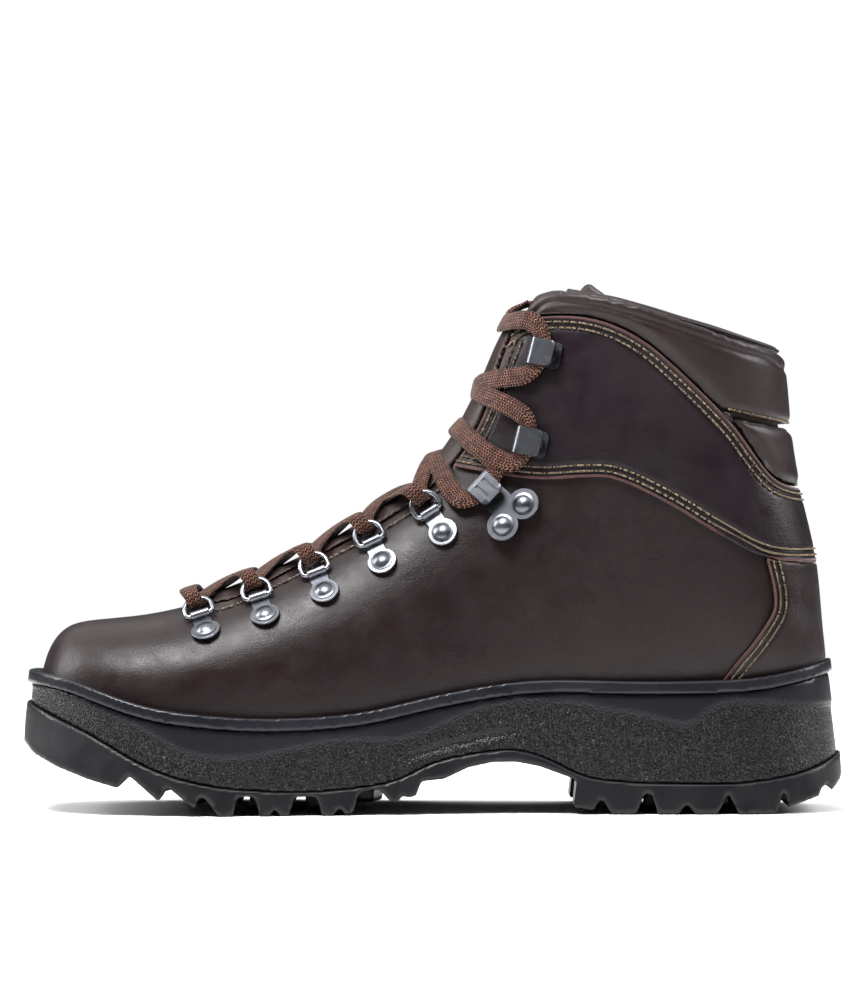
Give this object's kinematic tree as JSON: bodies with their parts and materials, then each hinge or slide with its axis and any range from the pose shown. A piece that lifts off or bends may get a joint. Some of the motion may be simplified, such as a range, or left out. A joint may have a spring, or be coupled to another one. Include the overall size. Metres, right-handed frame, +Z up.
{
  "type": "mountaineering boot",
  "caption": "Laced ankle-high leather mountaineering boot with padded collar, D-ring and hook lacing, cupped rubber midsole and lugged outsole",
  "frame": {"origin": "on the ground, under the middle of the boot's bounding box", "axes": "+Z up, +X towards the heel, -X towards the toe, -Y the inner (medial) side, +Y the outer (lateral) side"},
  "size_m": [0.308, 0.1179, 0.1979],
  "materials": {
    "upper_leather": "oiled full grain, dark brown",
    "cuff_leather": "oiled full grain, darker brown",
    "collar_leather": "soft glove leather over foam",
    "lining_leather": "undyed calf lining",
    "foam": "felted foam interlining",
    "stiffener": "thermoplastic board",
    "board": "fibre board",
    "footbed": "textile-topped foam",
    "midsole_rubber": "pebbled black rubber",
    "outsole_rubber": "satin black rubber",
    "bead_rubber": "smooth black rubber",
    "gunmetal": "smoked nickel plate",
    "spring_steel": "plain steel strip",
    "lace_cord": "flat braided polyester, two browns",
    "aglet_plastic": "clear-dipped tip"
  },
  "bodies": {
    "boot": {"aglet_a": "aglet_plastic", "aglet_b": "aglet_plastic", "ankle_cuff": "cuff_leather", "collar_pad_lower": "collar_leather", "collar_pad_upper": "collar_leather", "footbed": "footbed", "heel_counter_cover": "upper_leather", "heel_stiffener": "stiffener", "hook_rivets_lateral": "gunmetal", "hook_rivets_medial": "gunmetal", "insole_board": "board", "interlining": "foam", "lace": "lace_cord", "lace_tail_a": "lace_cord", "lace_tail_b": "lace_cord", "lining": "lining_leather", "locking_hook_lateral": "gunmetal", "locking_hook_medial": "gunmetal", "locking_hook_rivets_lateral": "gunmetal", "locking_hook_rivets_medial": "gunmetal", "lower_hook_lateral": "gunmetal", "lower_hook_medial": "gunmetal", "midsole": "midsole_rubber", "outsole": "outsole_rubber", "rand_bead": "bead_rubber", "ring_clips_lateral": "gunmetal", "ring_clips_medial": "gunmetal", "ring_rivets_lateral": "gunmetal", "ring_rivets_medial": "gunmetal", "shank": "spring_steel", "toe_puff": "stiffener", "tongue_face": "upper_leather", "tongue_foam": "foam", "tongue_wings": "collar_leather", "upper_hook_lateral": "gunmetal", "upper_hook_medial": "gunmetal", "vamp_and_quarters": "upper_leather"},
    "ring_medial_1": {"d_ring_medial_1": "gunmetal"},
    "ring_medial_2": {"d_ring_medial_2": "gunmetal"},
    "ring_medial_3": {"d_ring_medial_3": "gunmetal"},
    "ring_medial_4": {"d_ring_medial_4": "gunmetal"},
    "ring_medial_5": {"d_ring_medial_5": "gunmetal"},
    "ring_lateral_1": {"d_ring_lateral_1": "gunmetal"},
    "ring_lateral_2": {"d_ring_lateral_2": "gunmetal"},
    "ring_lateral_3": {"d_ring_lateral_3": "gunmetal"},
    "ring_lateral_4": {"d_ring_lateral_4": "gunmetal"},
    "ring_lateral_5": {"d_ring_lateral_5": "gunmetal"}
  },
  "joints": [
    {"name": "ring_swing_medial_1", "type": "hinge", "parent": "boot", "child": "ring_medial_1", "pos_m": [-0.08701, -0.02933, 0.07385], "axis": [0.9516, 0.0722, 0.2988], "range_deg": [-5, 5]},
    {"name": "ring_swing_medial_2", "type": "hinge", "parent": "boot", "child": "ring_medial_2", "pos_m": [-0.06519, -0.02932, 0.08045], "axis": [0.9469, 0.0717, 0.3135], "range_deg": [-5, 5]},
    {"name": "ring_swing_medial_3", "type": "hinge", "parent": "boot", "child": "ring_medial_3", "pos_m": [-0.04354, -0.02695, 0.08956], "axis": [0.9278, 0.0469, 0.3702], "range_deg": [-5, 5]},
    {"name": "ring_swing_medial_4", "type": "hinge", "parent": "boot", "child": "ring_medial_4", "pos_m": [-0.0228, -0.02497, 0.101], "axis": [0.8947, 0.034, 0.4453], "range_deg": [-5, 5]},
    {"name": "ring_swing_medial_5", "type": "hinge", "parent": "boot", "child": "ring_medial_5", "pos_m": [-0.00118, -0.0257, 0.11207], "axis": [0.8401, 0.0211, 0.5421], "range_deg": [-5, 5]},
    {"name": "ring_swing_lateral_1", "type": "hinge", "parent": "boot", "child": "ring_lateral_1", "pos_m": [-0.08704, 0.02987, 0.07375], "axis": [-0.9447, 0.0553, -0.3232], "range_deg": [-5, 5]},
    {"name": "ring_swing_lateral_2", "type": "hinge", "parent": "boot", "child": "ring_lateral_2", "pos_m": [-0.06519, 0.03138, 0.08021], "axis": [-0.9376, 0.0425, -0.3452], "range_deg": [-5, 5]},
    {"name": "ring_swing_lateral_3", "type": "hinge", "parent": "boot", "child": "ring_lateral_3", "pos_m": [-0.04346, 0.03026, 0.08926], "axis": [-0.9232, 0.0299, -0.3832], "range_deg": [-5, 5]},
    {"name": "ring_swing_lateral_4", "type": "hinge", "parent": "boot", "child": "ring_lateral_4", "pos_m": [-0.02265, 0.02819, 0.10078], "axis": [-0.8984, 0.0396, -0.4374], "range_deg": [-5, 5]},
    {"name": "ring_swing_lateral_5", "type": "hinge", "parent": "boot", "child": "ring_lateral_5", "pos_m": [-0.00106, 0.0283, 0.11201], "axis": [-0.848, 0.045, -0.5281], "range_deg": [-5, 5]}
  ]
}
